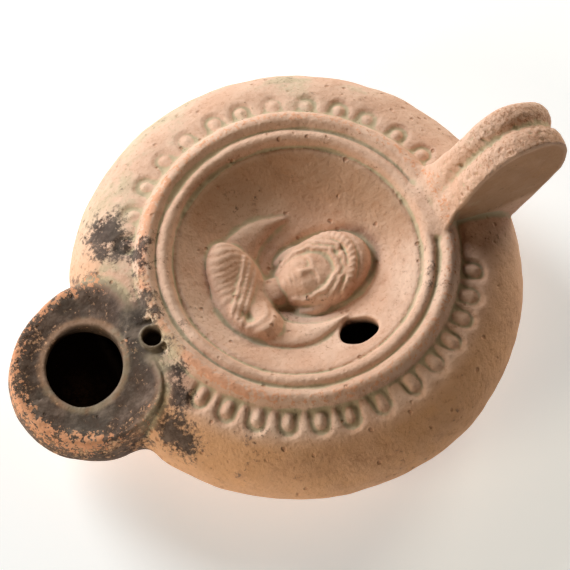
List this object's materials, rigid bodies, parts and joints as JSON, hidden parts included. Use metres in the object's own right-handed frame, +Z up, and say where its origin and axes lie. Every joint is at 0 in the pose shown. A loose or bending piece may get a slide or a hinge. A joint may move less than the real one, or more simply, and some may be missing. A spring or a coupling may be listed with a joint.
{
  "type": "roman oil lamp",
  "caption": "Hollow round clay oil lamp with a dished figured discus, heart-shaped nozzle, ovolo border and upright grooved lug handle.",
  "frame": {"origin": "middle of the flat base, on the axis of the round body", "axes": "+Z up out of the discus, -Y towards the nozzle, +Y towards the handle, +X to the right of someone who looks from the nozzle to the handle"},
  "size_m": [0.084, 0.1087, 0.045],
  "materials": {
    "fired_clay": "matt, unglazed, worn, with soot at the nozzle and pale deposits in the hollows"
  },
  "bodies": {
    "root": {"lamp": "fired_clay"}
  },
  "joints": []
}
